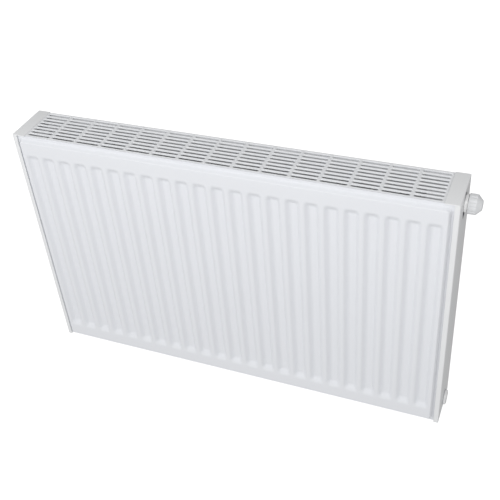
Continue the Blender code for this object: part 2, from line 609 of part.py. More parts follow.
# spindle: push end outside, spring collar, shank down to the cone
turned("valve_pin", [
    (18.55 * MM, 0.0), (18.55 * MM, 1.5 * MM), (18.1 * MM, 2.0 * MM), (-8.0 * MM, 2.0 * MM), (-8.0 * MM, 5.2 * MM),
    (-9.6 * MM, 5.2 * MM), (-9.6 * MM, 2.0 * MM), (-35.8 * MM, 2.0 * MM), (-35.8 * MM, 0.0)],
       V, Z_V, 1, SEG, STEEL)
# cone pressed on the spindle end, and the rubber disc that closes the seat
turned("valve_cone", [
    (-36.1 * MM, 0.0), (-36.1 * MM, 2.3 * MM), (-33.8 * MM, 2.3 * MM), (-33.8 * MM, 4.0 * MM), (-35.0 * MM, 5.6 * MM),
    (-38.0 * MM, 5.6 * MM), (-38.0 * MM, 0.0)], V, Z_V, 1, SEG, BRASS)
turned("valve_cone_seal", [(-38.3 * MM, 0.0), (-38.3 * MM, 5.4 * MM), (-40.3 * MM, 5.4 * MM), (-40.3 * MM, 0.0)],
       V, Z_V, 1, SEG, RUBBER)


def spring(name, x0, x1, radius, wire, turns, mat):
    """Compression coil between the spindle collar and the cage."""
    curve = bpy.data.curves.new(name + "_path", "CURVE")
    curve.dimensions = "3D"
    curve.bevel_depth = wire / 2
    curve.bevel_resolution = 1
    curve.use_fill_caps = True
    spline = curve.splines.new("POLY")
    per_turn = 10
    count = turns * per_turn
    spline.points.add(count)
    for i, p in enumerate(spline.points):
        a = 2 * math.pi * i / per_turn
        p.co = (x0 + (x1 - x0) * i / count, radius * math.cos(a), Z_V + radius * math.sin(a), 1.0)
    path = bpy.data.objects.new(name + "_path", curve)
    bpy.context.scene.collection.objects.link(path)
    bpy.context.view_layer.update()
    mesh = bpy.data.meshes.new_from_object(path.evaluated_get(bpy.context.evaluated_depsgraph_get()))
    matrix = path.matrix_world.copy()
    bpy.data.objects.remove(path, do_unlink=True)
    bm = bmesh.new()
    bm.from_mesh(mesh)
    bmesh.ops.remove_doubles(bm, verts=bm.verts[:], dist=1e-6)
    bmesh.ops.recalc_face_normals(bm, faces=bm.faces[:])
    bm.to_mesh(mesh)
    bm.free()
    mesh.name = name
    obj = bpy.data.objects.new(name, mesh)
    obj.matrix_world = matrix
    link(obj, mat)
    smooth(obj, 60)
    return obj


# the insert carries a fixed spring seat inside its chamber
turned("valve_spring_seat", [
    (-18.4 * MM, 2.3 * MM), (-18.4 * MM, 6.1 * MM), (-19.6 * MM, 6.1 * MM), (-19.6 * MM, 2.3 * MM)],
       V, Z_V, 1, SEG, STEEL, bore=True)
spring("valve_spring", V - 17.7 * MM, V - 11.95 * MM, 4.0 * MM, 0.9 * MM, 3, STEEL)


# ---------------------------------------------------------------- ribbed hand cap
def hand_cap():
    """Screw cap: plain collar at the base, ribbed grip, conical nose.  The grip is a
    cylinder whose side is stepped in between the ribs."""
    base, shoulder, tip = from_face(CAP_BASE_X), from_face(CAP_SHOULDER_X), from_face(CAP_TIP_X)
    segments = 4 * CAP_RIBS
    valley = 0.9 * MM

    def ribbed(i, radius):
        return radius if i % 4 in (0, 1) else radius - valley

    # rings from the base outwards: height on ribs, height between ribs, radius, ribbed or not
    rings = [(base, base, CAP_R, False), (base + 1.6 * MM, base + 1.6 * MM, CAP_R, False),
             (base + 1.9 * MM, base + 2.0 * MM, CAP_R - 0.05 * MM, True),
             (shoulder, shoulder, CAP_R - 0.2 * MM, True),
             (tip - 1.0 * MM, tip - 1.0 * MM, 9.6 * MM, False), (tip, tip, 8.2 * MM, False)]
    bm = bmesh.new()
    bmesh.ops.create_circle(bm, cap_ends=True, segments=segments, radius=1.0)
    face = bm.faces[:][0]
    if face.normal.z > 0:
        bmesh.ops.reverse_faces(bm, faces=[face])
    loop = sorted(bm.verts, key=lambda v: math.atan2(v.co.y, v.co.x) % (2 * math.pi))
    angles = [2 * math.pi * (i + 0.5) / segments for i in range(segments)]

    def shape(ring, verts):
        high, low, radius, ribs = ring
        for i, v in enumerate(verts):
            r = ribbed(i, radius) if ribs else radius
            h = low if ribs and i % 4 in (2, 3) else high
            v.co = Vector((r * math.cos(angles[i]), r * math.sin(angles[i]), h))

    shape(rings[0], loop)
    edges = [bm.edges.get((a, b)) for a, b in zip(loop, loop[1:] + loop[:1])]
    for ring in rings[1:]:
        for i, v in enumerate(loop):
            v.index = i
        grown = bmesh.ops.extrude_edge_only(bm, edges=edges)["geom"]
        fresh = [v for v in grown if isinstance(v, bmesh.types.BMVert)]
        partner = {}
        for v in fresh:
            old = [e.other_vert(v) for e in v.link_edges if e.other_vert(v) in loop][0]
            partner[old] = v
        loop = [partner[v] for v in loop]
        shape(ring, loop)
        edges = [bm.edges.get((a, b)) for a, b in zip(loop, loop[1:] + loop[:1])]
    bm.faces.new(loop)
    bmesh.ops.recalc_face_normals(bm, faces=bm.faces[:])
    cap = mesh_object("hand_cap", bm, WHITE_PLASTIC)
    cap.location = (V, 0.0, Z_V)
    cap.rotation_euler = (0.0, math.pi / 2, 0.0)
    # thread bore, and the pocket over the dial whose floor pushes the spindle
    boolean(cap, cut_rod("cap_thread_bore", 15.3 * MM, (V, 0, Z_V), (V + 15.7 * MM, 0, Z_V), 24))
    boolean(cap, cut_rod("cap_pocket", 10.6 * MM, (V + 10 * MM, 0, Z_V), (V + 18.9 * MM, 0, Z_V), 24))
    return cap


hand_cap()

# ---------------------------------------------------------------- air vent, top left
L = BOSS_FACE_X
plug = turned("vent_plug", [
    (4.3 * MM, 3.3 * MM), (4.3 * MM, 7.0 * MM), (1.3 * MM, 7.0 * MM), (1.3 * MM, 9.1 * MM), (-12.0 * MM, 9.1 * MM),
    (-13.0 * MM, 8.2 * MM), (-13.0 * MM, 1.6 * MM), (-3.0 * MM, 1.6 * MM), (-3.0 * MM, 3.3 * MM)],
              -L, PORT_Z_TOP, -1, SEG, STEEL, bore=True)
ring = as_cutter(hexagon("vent_plug_hex", 22 * MM, 1.15 * MM, 3.9 * MM, -L, PORT_Z_TOP, -1, None, cutters))
boolean(ring, cut_rod("vent_plug_hex_hole", 5.0 * MM, (-L, 0, PORT_Z_TOP), (-L - 20 * MM, 0, PORT_Z_TOP), SEG))
boolean(plug, ring, "UNION")
turned("vent_plug_o_ring", [(0.85 * MM, 9.7 * MM), (0.85 * MM, 11.4 * MM), (0.35 * MM, 11.4 * MM), (0.35 * MM, 9.7 * MM)],
       -L, PORT_Z_TOP, -1, SEG, RUBBER, bore=True)
# outlet collar that turns on the plug to aim the jet
nozzle = turned("vent_nozzle", [
    (8.6 * MM, 3.7 * MM), (8.6 * MM, 6.6 * MM), (8.0 * MM, 7.2 * MM), (4.7 * MM, 7.2 * MM), (4.7 * MM, 3.7 * MM)],
                -L, PORT_Z_TOP, -1, SEG, WHITE_PLASTIC, bore=True)
spout = as_cutter(rod("vent_spout", 1.9 * MM, (-L - 6.7 * MM, 0, PORT_Z_TOP - 5 * MM),
                      (-L - 6.7 * MM, 0, PORT_Z_TOP - 10.5 * MM), 12, None, cutters))
boolean(nozzle, spout, "UNION")
boolean(nozzle, cut_rod("vent_jet", 0.9 * MM, (-L - 6.7 * MM, 0, PORT_Z_TOP - 2 * MM),
                        (-L - 6.7 * MM, 0, PORT_Z_TOP - 12 * MM), 8))
# bleed screw with a square for the key
screw = turned("bleed_screw", [
    (7.0 * MM, 0.0), (7.0 * MM, 2.9 * MM), (-0.6 * MM, 2.9 * MM), (-0.6 * MM, 1.2 * MM), (-2.6 * MM, 0.7 * MM), (-2.6 * MM, 0.0)],
               -L, PORT_Z_TOP, -1, 16, STEEL)
head = as_cutter(box("bleed_square", (-L + VENT_TIP_X + L, -2.5 * MM, PORT_Z_TOP - 2.5 * MM),
                     (-L - 6.0 * MM, 2.5 * MM, PORT_Z_TOP + 2.5 * MM), None, cutters))
boolean(screw, head, "UNION")
turned("bleed_screw_seal", [(-0.9 * MM, 1.35 * MM), (-0.9 * MM, 2.7 * MM), (-2.2 * MM, 2.7 * MM), (-2.2 * MM, 1.35 * MM)],
       -L, PORT_Z_TOP, -1, 16, RUBBER, bore=True)


# ---------------------------------------------------------------- blank plugs
def blank_plug(name, side):
    x = side * BOSS_FACE_X
    obj = turned(name, [
        (4.8 * MM, 0.0), (4.8 * MM, 12.6 * MM), (4.1 * MM, 13.6 * MM), (1.3 * MM, 14.2 * MM), (1.3 * MM, 9.1 * MM),
        (-12.0 * MM, 9.1 * MM), (-13.0 * MM, 8.2 * MM), (-13.0 * MM, 0.0)], x, PORT_Z_BOTTOM, side, SEG, WHITE_PLASTIC)
    socket = as_cutter(hexagon(name + "_socket", 12 * MM, 0.5 * MM, 8 * MM, x, PORT_Z_BOTTOM, side, None, cutters))
    boolean(obj, socket)
    turned(name + "_o_ring", [(0.95 * MM, 9.7 * MM), (0.95 * MM, 12.4 * MM), (0.35 * MM, 12.4 * MM), (0.35 * MM, 9.7 * MM)],
           x, PORT_Z_BOTTOM, side, SEG, RUBBER, bore=True)


blank_plug("blank_plug_left", -1)
blank_plug("blank_plug_right", 1)
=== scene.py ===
import math

import bmesh
import bpy
import numpy as np
from mathutils import Matrix, Vector


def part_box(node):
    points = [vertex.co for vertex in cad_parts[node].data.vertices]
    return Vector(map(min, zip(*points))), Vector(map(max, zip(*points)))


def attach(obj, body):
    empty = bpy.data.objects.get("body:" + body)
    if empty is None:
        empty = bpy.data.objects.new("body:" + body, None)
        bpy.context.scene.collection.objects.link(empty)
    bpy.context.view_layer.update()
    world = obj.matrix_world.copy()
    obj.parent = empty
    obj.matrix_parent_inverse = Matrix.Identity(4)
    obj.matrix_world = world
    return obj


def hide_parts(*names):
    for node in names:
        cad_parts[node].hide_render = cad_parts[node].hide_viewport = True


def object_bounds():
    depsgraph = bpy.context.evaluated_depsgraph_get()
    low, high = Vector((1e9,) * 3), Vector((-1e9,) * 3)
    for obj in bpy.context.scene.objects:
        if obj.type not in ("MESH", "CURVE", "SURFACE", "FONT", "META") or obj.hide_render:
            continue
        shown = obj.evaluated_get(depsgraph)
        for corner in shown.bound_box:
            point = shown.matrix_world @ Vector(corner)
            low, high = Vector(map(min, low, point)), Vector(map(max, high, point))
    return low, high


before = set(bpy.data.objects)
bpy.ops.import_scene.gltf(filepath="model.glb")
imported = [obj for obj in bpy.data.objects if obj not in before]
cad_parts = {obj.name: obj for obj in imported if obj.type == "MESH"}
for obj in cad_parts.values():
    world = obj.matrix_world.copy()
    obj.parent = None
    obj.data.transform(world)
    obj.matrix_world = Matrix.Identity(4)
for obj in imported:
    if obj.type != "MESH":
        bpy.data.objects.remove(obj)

MM = 0.001
CAD_BOX = [list(v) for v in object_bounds()]

# Millimetre layout about the radiator's own middle: X 0 half way along the panels,
# Y 0 half way between them, Z 0 at the side covers' bottom edges.
_lo, _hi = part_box("front_panel_outer_sheet")
X0 = (_lo.x + _hi.x) / 2
Y0 = _lo.y + 50 * MM
Z0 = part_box("side_cover_right")[0].z
SHIFT = Vector((X0, Y0, Z0))
PITCH = 800 / 24


def at(x, y, z):
    return Vector((x * MM, y * MM, z * MM)) + SHIFT


# ------------------------------------------------------------------ materials
def node_material(name):
    mat = bpy.data.materials.new(name)
    mat.use_nodes = True
    nodes, links = mat.node_tree.nodes, mat.node_tree.links
    return mat, nodes, links, nodes["Principled BSDF"]


def coloured(nodes, links, shader, vector, colour, variation, scale, detail=4.0):
    """Base colour that drifts slightly over the surface."""
    noise = nodes.new("ShaderNodeTexNoise")
    noise.inputs["Scale"].default_value = scale
    noise.inputs["Detail"].default_value = detail
    links.new(vector, noise.inputs["Vector"])
    ramp = nodes.new("ShaderNodeValToRGB")
    ramp.color_ramp.elements[0].position = 0.3
    ramp.color_ramp.elements[1].position = 0.7
    ramp.color_ramp.elements[0].color = (*[c * (1 - variation) for c in colour], 1)
    ramp.color_ramp.elements[1].color = (*[min(1, c * (1 + variation)) for c in colour], 1)
    links.new(noise.outputs["Fac"], ramp.inputs["Fac"])
    links.new(ramp.outputs["Color"], shader.inputs["Base Color"])
    return noise


def bumped(nodes, links, shader, vector, layers):
    """layers: (noise scale, strength, distance in metres), chained."""
    previous = None
    for scale, strength, distance in layers:
        noise = nodes.new("ShaderNodeTexNoise")
        noise.inputs["Scale"].default_value = scale
        noise.inputs["Detail"].default_value = 3.0
        links.new(vector, noise.inputs["Vector"])
        bump = nodes.new("ShaderNodeBump")
        bump.inputs["Strength"].default_value = strength
        bump.inputs["Distance"].default_value = distance
        links.new(noise.outputs["Fac"], bump.inputs["Height"])
        if previous is not None:
            links.new(previous.outputs["Normal"], bump.inputs["Normal"])
        previous = bump
    links.new(previous.outputs["Normal"], shader.inputs["Normal"])


def rough(nodes, links, shader, vector, low, high, scale):
    noise = nodes.new("ShaderNodeTexNoise")
    noise.inputs["Scale"].default_value = scale
    noise.inputs["Detail"].default_value = 5.0
    links.new(vector, noise.inputs["Vector"])
    span = nodes.new("ShaderNodeMapRange")
    span.inputs["To Min"].default_value = low
    span.inputs["To Max"].default_value = high
    links.new(noise.outputs["Fac"], span.inputs["Value"])
    links.new(span.outputs["Result"], shader.inputs["Roughness"])


def surface(name, colour, variation, colour_scale, roughness, bumps, metallic=0.0, coat=0.0,
            stretch=None, specular=None):
    mat, nodes, links, shader = node_material(name)
    place = nodes.new("ShaderNodeTexCoord")
    vector = place.outputs["Object"]
    if stretch is not None:
        mapping = nodes.new("ShaderNodeMapping")
        mapping.inputs["Scale"].default_value = stretch
        links.new(vector, mapping.inputs["Vector"])
        vector = mapping.outputs["Vector"]
    coloured(nodes, links, shader, vector, colour, variation, colour_scale)
    rough(nodes, links, shader, vector, roughness[0], roughness[1], colour_scale * 2)
    bumped(nodes, links, shader, vector, bumps)
    shader.inputs["Metallic"].default_value = metallic
    shader.inputs["Coat Weight"].default_value = coat
    shader.inputs["Coat Roughness"].default_value = 0.18
    if specular is not None:
        shader.inputs["Specular IOR Level"].default_value = specular
    return mat


# baked enamel: slow drift in tone, orange peel about 1 mm across, fine grain
ENAMEL = surface("enamel", (0.835, 0.850, 0.884), 0.004, 7, (0.36, 0.44),
                 [(260, 0.02, 0.00003), (4200, 0.04, 0.000006)], coat=0.05)
GRILLE = surface("grille_enamel", (0.85, 0.862, 0.882), 0.005, 14, (0.34, 0.42),
                 [(800, 0.05, 0.00003), (4200, 0.04, 0.00001)], coat=0.05)
COVER = surface("cover_enamel", (0.856, 0.864, 0.873), 0.005, 11, (0.36, 0.44),
                [(800, 0.05, 0.00003), (3800, 0.04, 0.00001)], coat=0.05)
# convector fins: off-white sheet given a mid-grey colour, painted shade for the shadow down inside the panels
FIN_PAINTED_SHADE = surface("fin_primer", (0.55, 0.56, 0.575), 0.05, 22, (0.50, 0.66),
                 [(1400, 0.18, 0.00005), (260, 0.10, 0.0001)])
# inner sheets and fittings: the same white enamel as the outside, darkened as painted shade for the panels' interior
INSIDE_PAINTED_SHADE = surface("inside_enamel_painted_shade", (0.66, 0.67, 0.69), 0.03, 16, (0.45, 0.60),
                 [(1100, 0.14, 0.00006), (3600, 0.08, 0.00002)])
WHITE_PLASTIC = surface("white_moulding", (0.80, 0.81, 0.825), 0.012, 60, (0.36, 0.46),
                        [(5200, 0.16, 0.00003), (700, 0.05, 0.00004)])
GLOSS_WHITE = surface("gloss_white_moulding", (0.95, 0.952, 0.955), 0.006, 60, (0.10, 0.16),
                      [(5200, 0.05, 0.00001), (700, 0.03, 0.00002)], coat=0.4)
GREY_PLASTIC = surface("grey_moulding", (0.23, 0.24, 0.26), 0.04, 90, (0.42, 0.55),
                       [(5200, 0.22, 0.00003), (900, 0.08, 0.00004)])
BRASS = surface("turned_brass", (0.74, 0.56, 0.28), 0.05, 120, (0.20, 0.34),
                [(2600, 0.14, 0.00003), (9000, 0.08, 0.00001)], metallic=1.0, stretch=(8, 1, 1))
NICKEL = surface("nickel_plate", (0.80, 0.79, 0.77), 0.03, 90, (0.16, 0.30),
                 [(2400, 0.10, 0.00003), (8000, 0.06, 0.00001)], metallic=1.0, stretch=(8, 1, 1))
STEEL = surface("stainless", (0.60, 0.60, 0.61), 0.04, 140, (0.20, 0.32),
                [(3000, 0.12, 0.00003), (9000, 0.06, 0.00001)], metallic=1.0, stretch=(8, 1, 1))
RUBBER = surface("rubber", (0.028, 0.028, 0.030), 0.12, 140, (0.55, 0.72),
                 [(4800, 0.25, 0.00003), (900, 0.10, 0.00005)])


# ------------------------------------------------------------------ mesh helpers
def finish_mesh(name, bm, mat, body, replaced=(), angle=32, transform=None):
    """bm is in millimetres in the radiator's layout unless transform says otherwise."""
    for v in bm.verts:
        co = transform @ v.co if transform is not None else v.co
        v.co = at(co.x, co.y, co.z)
    bm.normal_update()
    mesh = bpy.data.meshes.new(name)
    bm.to_mesh(mesh)
    bm.free()
    mesh.materials.append(mat)
    obj = bpy.data.objects.new(name, mesh)
    bpy.context.scene.collection.objects.link(obj)
    mesh.shade_smooth()
    mesh.set_sharp_from_angle(angle=math.radians(angle))
    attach(obj, body)
    if replaced:
        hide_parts(*replaced)
    return obj


def settle(obj, angle=32):
    """Turns an object's modifiers into its mesh."""
    bpy.context.view_layer.update()
    made = bpy.data.meshes.new_from_object(obj.evaluated_get(bpy.context.evaluated_depsgraph_get()))
    old = obj.data
    obj.modifiers.clear()
    obj.data = made
    bpy.data.meshes.remove(old)
    made.shade_smooth()
    made.set_sharp_from_angle(angle=math.radians(angle))
    return obj


def tool(bm):
    """A temporary cutter, in millimetres."""
    for v in bm.verts:
        v.co = at(*v.co)
    mesh = bpy.data.meshes.new("tool")
    bm.to_mesh(mesh)
    bm.free()
    obj = bpy.data.objects.new("tool", mesh)
    bpy.context.scene.collection.objects.link(obj)
    return obj


def apply_boolean(obj, cutter, operation="DIFFERENCE"):
    mod = obj.modifiers.new("cut", "BOOLEAN")
    mod.object, mod.operation, mod.solver = cutter, operation, "EXACT"
    settle(obj)
    mesh = cutter.data
    bpy.data.objects.remove(cutter, do_unlink=True)
    bpy.data.meshes.remove(mesh)


def smoothstep(t):
    t = np.clip(t, 0, 1)
    return t * t * (3 - 2 * t)


def rounded_box_distance(x, z, half_x, half_z, radius):
    qx, qz = np.abs(x) - (half_x - radius), np.abs(z) - (half_z - radius)
    return np.hypot(np.maximum(qx, 0), np.maximum(qz, 0)) + np.minimum(np.maximum(qx, qz), 0) - radius


# ------------------------------------------------------------------ pressed panels
def panel_columns():
    xs = [400, 397, 394, 391.5, 390.5]
    xs += list(np.arange(390.1, 382.3, -0.6)) + [381.5, 380, 378]
    xs = set([round(v, 3) for v in xs] + [round(-v, 3) for v in xs])
    steps = [0, 2.6, 5.05, 6.2, 7.3, 8.3, 9.2, 10.0, 10.9, 11.9, 13.0, 14.55]
    for k in range(-11, 12):
        for s in steps:
            xs |= {round(k * PITCH + s, 3), round(k * PITCH - s, 3)}
    for k in range(-12, 12):
        xs.add(round((k + 0.5) * PITCH, 3))
    return np.array(sorted(xs))


def panel_rows():
    low = [2.5, 4] + list(np.arange(5.2, 14.5, 0.65)) + [15.5, 19, 24, 29, 32.5]
    low += list(np.arange(34.5, 53.5, 1.25)) + [58, 72, 100, 140, 190]
    return np.array(sorted(set([round(v, 3) for v in low] + [round(500 - v, 3) for v in low[1:]] + [498.7, 250])))


def pressed_panel(name, node, side):
    """side is -1 for the room-side panel and +1 for the wall-side one."""
    xs, zs = panel_columns(), panel_rows()
    grid_x, grid_z = np.meshgrid(xs, zs)
    d = rounded_box_distance(grid_x, grid_z - 250, 387.4, 240.6, 7.0)
    field = smoothstep((2.8 - d) / 5.6)
    k = np.clip(np.round(grid_x / PITCH), -11, 11)
    # nearly square ends: the side slopes and the end slope simply meet
    across = smoothstep((14.7 - np.abs(grid_x - k * PITCH)) / 9.9)
    along = smoothstep((214.0 - np.abs(grid_z - 250)) / 13.5)
    groove = across * along
    height = 7.6 * field - 7.0 * groove
    y = side * (42.4 + height)
    bm = bmesh.new()
    rows = [[bm.verts.new((grid_x[j, i], y[j, i], grid_z[j, i])) for i in range(len(xs))] for j in range(len(zs))]
    for j in range(len(zs) - 1):
        for i in range(len(xs) - 1):
            quad = [rows[j][i], rows[j][i + 1], rows[j + 1][i + 1], rows[j + 1][i]]
            bm.faces.new(quad if side < 0 else quad[::-1])
    obj = finish_mesh(name, bm, ENAMEL, "radiator", [node], 60)
    solid = obj.modifiers.new("sheet", "SOLIDIFY")
    solid.thickness, solid.offset = 1.2 * MM, -1.0
    settle(obj, 60)
    return obj


pressed_panel("front_panel", "front_panel_outer_sheet", -1)
pressed_panel("rear_panel", "rear_panel_outer_sheet", 1)


# ------------------------------------------------------------------ top grille
def top_grille():
    bm = bmesh.new()
    cols, rows, px, py = 15, 8, 50.0, 10.0
    length, width, roll = 45.0, 5.4, 1.6
    r = width / 2
    straight = length / 2 - r
    steps = 8

    def outline(radius, z):
        pts = []
        for s in (1, -1):
            for i in range(steps + 1):
                a = math.pi / 2 - math.pi * i / steps
                pts.append((s * (straight + radius * math.cos(a)), s * radius * math.sin(a), z))
        return pts

    hx, hy = px / 2, py / 2
    half = [(straight, hy), ((straight + hx) / 2, hy), (hx, hy), (hx, hy / 2), (hx, 0), (hx, -hy / 2), (hx, -hy),
            ((straight + hx) / 2, -hy), (straight, -hy)]
    rim = [(x, y, 0.0) for x, y in half] + [(-x, -y, 0.0) for x, y in half]
    turned = [math.radians(18 * i) for i in range(6)]
    rings = [rim] + [outline(r + roll * (1 - math.sin(t)), -roll * (1 - math.cos(t))) for t in turned]
    rings += [outline(r, -2.6)]
    for c in range(cols):
        for w in range(rows):
            cx, cy = (c - (cols - 1) / 2) * px, (w - (rows - 1) / 2) * py
            loops = [[bm.verts.new((x + cx, y + cy, 500 + z)) for x, y, z in ring] for ring in rings]
            n = len(rim)
            for a, b in zip(loops, loops[1:]):
                for i in range(n):
                    j = (i + 1) % n
                    bm.faces.new([a[i], b[i], b[j], a[j]])
    # plain margins
    for x0, x1, y0, y1 in ((-375, 375, 40, 41.9), (-375, 375, -41.9, -40)):
        xs = sorted({(c - (cols - 1) / 2) * px + o for c in range(cols) for o in (-hx, -straight, -(straight + hx) / 2, straight, (straight + hx) / 2, hx)})
        line0 = [bm.verts.new((x, y0, 500)) for x in xs]
        line1 = [bm.verts.new((x, y1, 500)) for x in xs]
        for i in range(len(xs) - 1):
            bm.faces.new([line0[i], line0[i + 1], line1[i + 1], line1[i]])
    bmesh.ops.remove_doubles(bm, verts=bm.verts[:], dist=0.002)
    bmesh.ops.recalc_face_normals(bm, faces=bm.faces[:])
    if max(bm.faces, key=lambda f: f.calc_area()).normal.z < 0:
        bmesh.ops.reverse_faces(bm, faces=bm.faces[:])
    # short rolled ends and the turned-down front and back edges
    for s in (-1, 1):
        edge = [e for e in bm.edges if e.is_boundary and all(abs(v.co.x - s * 375) < 0.01 for v in e.verts)]
        grown = bmesh.ops.extrude_edge_only(bm, edges=edge)["geom"]
        for v in grown:
            if isinstance(v, bmesh.types.BMVert):
                v.co.x = s * 376
                v.co.z -= 0.25
    for s in (-1, 1):
        previous = [e for e in bm.edges if e.is_boundary and all(abs(v.co.y - s * 41.9) < 0.01 for v in e.verts)]
        for y, z in ((42.25, 499.85), (42.4, 499.5)):
            grown = bmesh.ops.extrude_edge_only(bm, edges=previous)["geom"]
            fresh = [v for v in grown if isinstance(v, bmesh.types.BMVert)]
            for v in fresh:
                v.co.y, v.co.z = s * y, z
            previous = [e for e in grown if isinstance(e, bmesh.types.BMEdge)
                        and all(abs(v.co.y - s * y) < 1e-4 for v in e.verts)]
    bmesh.ops.recalc_face_normals(bm, faces=bm.faces[:])
    if max(bm.faces, key=lambda f: f.calc_area()).normal.z < 0:
        bmesh.ops.reverse_faces(bm, faces=bm.faces[:])
    obj = finish_mesh("top_grille_plate", bm, GRILLE, "radiator", ["top_grille"], 50)
    solid = obj.modifiers.new("sheet", "SOLIDIFY")
    solid.thickness, solid.offset = 0.6 * MM, -1.0
    settle(obj, 50)
    lips = bmesh.new()
    for s in (-1, 1):
        section = [(39.4, 499.0), (39.4, 492.9), (39.1, 492.5), (38.7, 492.5), (38.4, 492.9), (38.4, 499.0)]
        ends = [[lips.verts.new((x, s * y, z)) for y, z in section] for x in (-372, 372)]
        for i in range(len(section)):
            j = (i + 1) % len(section)
            lips.faces.new([ends[0][i], ends[0][j], ends[1][j], ends[1][i]])
        lips.faces.new(ends[0])
        lips.faces.new(ends[1])
    bmesh.ops.recalc_face_normals(lips, faces=lips.faces[:])
    finish_mesh("top_grille_lips", lips, GRILLE, "radiator", (), 30)
    return obj


top_grille()


# ------------------------------------------------------------------ side covers
def cover_outline(side, inset, near, y_half, out, fold, arc=6):
    """Plan outline of a cover, its two outer corners rounded; near is the edge by the grille."""
    r = fold - inset
    pts = [(near, -y_half + inset)]
    for cy, start in ((-y_half + fold, -math.pi / 2), (y_half - fold, 0.0)):
        for i in range(arc + 1):
            a = start + (math.pi / 2) * i / arc
            pts.append((out - fold + r * math.cos(a), cy + r * math.sin(a)))
    pts.append((near, y_half - inset))
    return [(side * x, y) for x, y in pts]


def side_cover(name, node, side, holes):
    """Folded sheet: an end plate, lips wrapped round both panels' side seams, a top flange."""
    fold, out, lip, half = 1.8, 401.3, 392.4, 45.0
    bm = bmesh.new()
    section = cover_outline(side, 0.0, lip, half, out, fold)
    rings = [[bm.verts.new((x, y, z)) for x, y in section] for z in (0.0, 499.1)]
    for i in range(len(section) - 1):
        quad = [rings[0][i], rings[0][i + 1], rings[1][i + 1], rings[1][i]]
        bm.faces.new(quad if side > 0 else quad[::-1])
    obj = finish_mesh(name, bm, COVER, "radiator", [node], 30)
    solid = obj.modifiers.new("sheet", "SOLIDIFY")
    solid.thickness, solid.offset = 1.0 * MM, -1.0
    settle(obj, 30)
    flange = bmesh.new()
    loops = []
    for i in range(6):
        t = math.pi / 2 * i / 5
        loops.append([flange.verts.new((x, y, 499 + math.sin(t))) for x, y in
                      cover_outline(side, 1 - math.cos(t), 376.3, half, out, fold)])
    n = len(loops[0])
    for a, b in zip(loops, loops[1:]):
        for i in range(n):
            k = (i + 1) % n
            flange.faces.new([a[i], a[k], b[k], b[i]])
    flange.faces.new(loops[0])
    flange.faces.new(loops[-1])
    bmesh.ops.recalc_face_normals(flange, faces=flange.faces[:])
    apply_boolean(obj, tool(flange), "UNION")
    for z0, z1, radius in holes:
        bm = bmesh.new()
        pts = []
        for i in range(33):
            a = math.pi * i / 32
            pts.append((radius * math.cos(a), z1 + radius * math.sin(a)))
        for i in range(33):
            a = math.pi + math.pi * i / 32
            pts.append((radius * math.cos(a), z0 + radius * math.sin(a)))
        ends = [[bm.verts.new((side * x, y, z)) for y, z in pts] for x in (396.0, 406.0)]
        n = len(pts)
        for i in range(n):
            j = (i + 1) % n
            bm.faces.new([ends[0][i], ends[0][j], ends[1][j], ends[1][i]])
        bm.faces.new(ends[0])
        bm.faces.new(ends[1])
        bmesh.ops.remove_doubles(bm, verts=bm.verts[:], dist=0.001)
        bmesh.ops.recalc_face_normals(bm, faces=bm.faces[:])
        apply_boolean(obj, tool(bm))
    return obj


side_cover("cover_right", "side_cover_right", 1, [(458.8, 481.2, 12.8), (25, 25, 15.6)])
side_cover("cover_left", "side_cover_left", -1, [(475, 475, 15.6), (25, 25, 15.6)])


# ------------------------------------------------------------------ turned pieces
def lathe(name, profile, x, z, side, mat, body, replaced, segments=96, closed=True, modulate=None, angle=35):
    """profile: (distance outwards, radius) pairs in millimetres; closed when it has a bore."""
    bm = bmesh.new()
    rings = []
    for h, r in profile:
        if r < 1e-6:
            rings.append([bm.verts.new((x + side * h, 0, z))])
            continue
        ring = []
        for i in range(segments):
            a = 2 * math.pi * i / segments
            q = modulate(h, r, a) if modulate else r
            ring.append(bm.verts.new((x + side * h, q * math.cos(a), z + q * math.sin(a))))
        rings.append(ring)
    pairs = list(zip(rings, rings[1:])) + ([(rings[-1], rings[0])] if closed else [])
    for a, b in pairs:
        for i in range(segments):
            j = (i + 1) % segments
            if len(a) == 1 and len(b) == 1:
                continue
            if len(a) == 1:
                bm.faces.new([a[0], b[i], b[j]])
            elif len(b) == 1:
                bm.faces.new([a[i], b[0], a[j]])
            else:
                bm.faces.new([a[i], b[i], b[j], a[j]])
    bmesh.ops.recalc_face_normals(bm, faces=bm.faces[:])
    return finish_mesh(name, bm, mat, body, replaced, angle)


V, ZV, ZB = 402.0, 475.0, 25.0


# hand cap: plain collar, twelve rounded grip ribs, domed shoulder, flat nose
def cap_ribs(h, r, a):
    grip = smoothstep(np.array((h - 6.9) / 0.8)) * smoothstep(np.array((18.3 - h) / 1.6))
    wave = 0.5 + 0.5 * math.cos(12 * a)
    return r - 1.0 * float(grip) * (1 - min(1.0, 2.6 * wave))  if wave < 0.385 else r


cap_profile = [(5.2, 15.3), (5.2, 16.2), (5.35, 16.55), (5.7, 16.7), (6.5, 16.7), (6.9, 16.68), (7.3, 16.65), (7.7, 16.6),
               (9.5, 16.6), (12.0, 16.55), (14.5, 16.5), (16.6, 16.45), (17.1, 16.4), (17.6, 16.3), (18.0, 16.1), (18.5, 15.6),
               (19.4, 14.7), (21.0, 13.1), (22.6, 11.5), (24.0, 10.1), (24.8, 9.3), (25.6, 8.6), (26.0, 8.0), (26.2, 7.2),
               (26.2, 3.0), (26.2, 0.0)]
cap_inside = [(18.9, 0.0), (18.9, 10.6), (15.7, 10.6), (15.7, 15.3)]
lathe("cap_shell", cap_profile[:-1] + [(26.2, 0.0), (18.9, 0.0)] + cap_inside[1:], V, ZV, 1, WHITE_PLASTIC, "hand_cap",
      ["hand_cap"], 144, True, cap_ribs)

